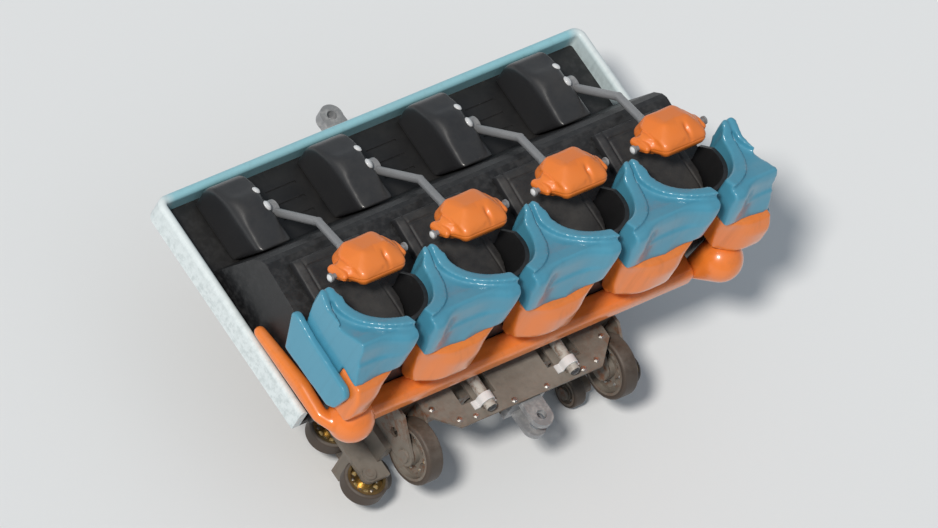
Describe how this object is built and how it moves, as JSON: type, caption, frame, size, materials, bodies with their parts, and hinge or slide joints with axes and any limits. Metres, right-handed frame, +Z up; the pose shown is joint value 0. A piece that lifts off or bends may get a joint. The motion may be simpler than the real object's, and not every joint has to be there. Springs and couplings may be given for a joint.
{
  "type": "roller coaster car, one row of four seats",
  "caption": "Roller coaster car with one row of seats, swinging lap restraints, and wheels above, beside and below the rail.",
  "frame": {"origin": "midway between the coupling pins, on the level where the upstop wheels and the fin stand", "axes": "+X to the riders' right, +Y the way the riders face, +Z up"},
  "size_m": [2.6006, 1.92, 1.586],
  "materials": {
    "teal_paint": "gloss",
    "pale_paint": "satin",
    "orange_paint": "gloss",
    "orange_pad": "satin",
    "black_plastic": "satin",
    "cushion_skin": "matte",
    "grey_paint": "satin",
    "chassis_paint": "satin",
    "bare_steel": "worn",
    "wheel_tread": "matte"
  },
  "bodies": {
    "car": {"chassis": "chassis_paint", "front_coupler": "bare_steel", "rear_coupler": "bare_steel", "brake_fin": "bare_steel", "carrier_left": "chassis_paint", "carrier_right": "chassis_paint", "floor_pan": "black_plastic", "floor_rim": "pale_paint", "leg_pods": "black_plastic", "seat_1": "black_plastic", "seat_2": "black_plastic", "seat_3": "black_plastic", "seat_4": "black_plastic", "seat_cushions": "cushion_skin", "wing_shell_1": "teal_paint", "wing_shell_2": "teal_paint", "wing_shell_3": "teal_paint", "wing_shell_4": "teal_paint", "wing_shell_5": "teal_paint", "lower_shells": "orange_paint", "rear_beam": "orange_paint", "side_panel_left": "teal_paint", "side_panel_right": "teal_paint", "corner_left": "orange_paint", "corner_right": "orange_paint"},
    "road_wheel_left_front": {"road_wheel_left_front": "wheel_tread"},
    "guide_wheel_left_front": {"guide_wheel_left_front": "wheel_tread"},
    "upstop_wheel_left_front": {"upstop_wheel_left_front": "wheel_tread"},
    "road_wheel_left_rear": {"road_wheel_left_rear": "wheel_tread"},
    "guide_wheel_left_rear": {"guide_wheel_left_rear": "wheel_tread"},
    "upstop_wheel_left_rear": {"upstop_wheel_left_rear": "wheel_tread"},
    "road_wheel_right_front": {"road_wheel_right_front": "wheel_tread"},
    "guide_wheel_right_front": {"guide_wheel_right_front": "wheel_tread"},
    "upstop_wheel_right_front": {"upstop_wheel_right_front": "wheel_tread"},
    "road_wheel_right_rear": {"road_wheel_right_rear": "wheel_tread"},
    "guide_wheel_right_rear": {"guide_wheel_right_rear": "wheel_tread"},
    "upstop_wheel_right_rear": {"upstop_wheel_right_rear": "wheel_tread"},
    "restraint_1": {"restraint_arm_1": "grey_paint", "lap_pad_1": "orange_pad"},
    "restraint_2": {"restraint_arm_2": "grey_paint", "lap_pad_2": "orange_pad"},
    "restraint_3": {"restraint_arm_3": "grey_paint", "lap_pad_3": "orange_pad"},
    "restraint_4": {"restraint_arm_4": "grey_paint", "lap_pad_4": "orange_pad"}
  },
  "joints": [
    {"name": "road_wheel_left_front_turn", "type": "hinge", "parent": "car", "child": "road_wheel_left_front", "pos_m": [-0.6, -0.38, 0.462], "axis": [1, 0, 0], "continuous": true},
    {"name": "guide_wheel_left_front_turn", "type": "hinge", "parent": "car", "child": "guide_wheel_left_front", "pos_m": [-0.781, -0.42, 0.232], "axis": [0, 0, 1], "continuous": true},
    {"name": "upstop_wheel_left_front_turn", "type": "hinge", "parent": "car", "child": "upstop_wheel_left_front", "pos_m": [-0.6, -0.475, 0.08], "axis": [1, 0, 0], "continuous": true},
    {"name": "road_wheel_left_rear_turn", "type": "hinge", "parent": "car", "child": "road_wheel_left_rear", "pos_m": [-0.6, -0.76, 0.462], "axis": [1, 0, 0], "continuous": true},
    {"name": "guide_wheel_left_rear_turn", "type": "hinge", "parent": "car", "child": "guide_wheel_left_rear", "pos_m": [-0.781, -0.72, 0.232], "axis": [0, 0, 1], "continuous": true},
    {"name": "upstop_wheel_left_rear_turn", "type": "hinge", "parent": "car", "child": "upstop_wheel_left_rear", "pos_m": [-0.6, -0.665, 0.08], "axis": [1, 0, 0], "continuous": true},
    {"name": "road_wheel_right_front_turn", "type": "hinge", "parent": "car", "child": "road_wheel_right_front", "pos_m": [0.6, -0.38, 0.462], "axis": [1, 0, 0], "continuous": true},
    {"name": "guide_wheel_right_front_turn", "type": "hinge", "parent": "car", "child": "guide_wheel_right_front", "pos_m": [0.781, -0.42, 0.232], "axis": [0, 0, 1], "continuous": true},
    {"name": "upstop_wheel_right_front_turn", "type": "hinge", "parent": "car", "child": "upstop_wheel_right_front", "pos_m": [0.6, -0.475, 0.08], "axis": [1, 0, 0], "continuous": true},
    {"name": "road_wheel_right_rear_turn", "type": "hinge", "parent": "car", "child": "road_wheel_right_rear", "pos_m": [0.6, -0.76, 0.462], "axis": [1, 0, 0], "continuous": true},
    {"name": "guide_wheel_right_rear_turn", "type": "hinge", "parent": "car", "child": "guide_wheel_right_rear", "pos_m": [0.781, -0.72, 0.232], "axis": [0, 0, 1], "continuous": true},
    {"name": "upstop_wheel_right_rear_turn", "type": "hinge", "parent": "car", "child": "upstop_wheel_right_rear", "pos_m": [0.6, -0.665, 0.08], "axis": [1, 0, 0], "continuous": true},
    {"name": "restraint_1_swing", "type": "hinge", "parent": "car", "child": "restraint_1", "pos_m": [-0.843, 0.44, 0.94], "axis": [-1, 0, 0], "range_deg": [0, 58]},
    {"name": "restraint_2_swing", "type": "hinge", "parent": "car", "child": "restraint_2", "pos_m": [-0.233, 0.44, 0.94], "axis": [-1, 0, 0], "range_deg": [0, 58]},
    {"name": "restraint_3_swing", "type": "hinge", "parent": "car", "child": "restraint_3", "pos_m": [0.377, 0.44, 0.94], "axis": [-1, 0, 0], "range_deg": [0, 58]},
    {"name": "restraint_4_swing", "type": "hinge", "parent": "car", "child": "restraint_4", "pos_m": [0.987, 0.44, 0.94], "axis": [-1, 0, 0], "range_deg": [0, 58]}
  ]
}
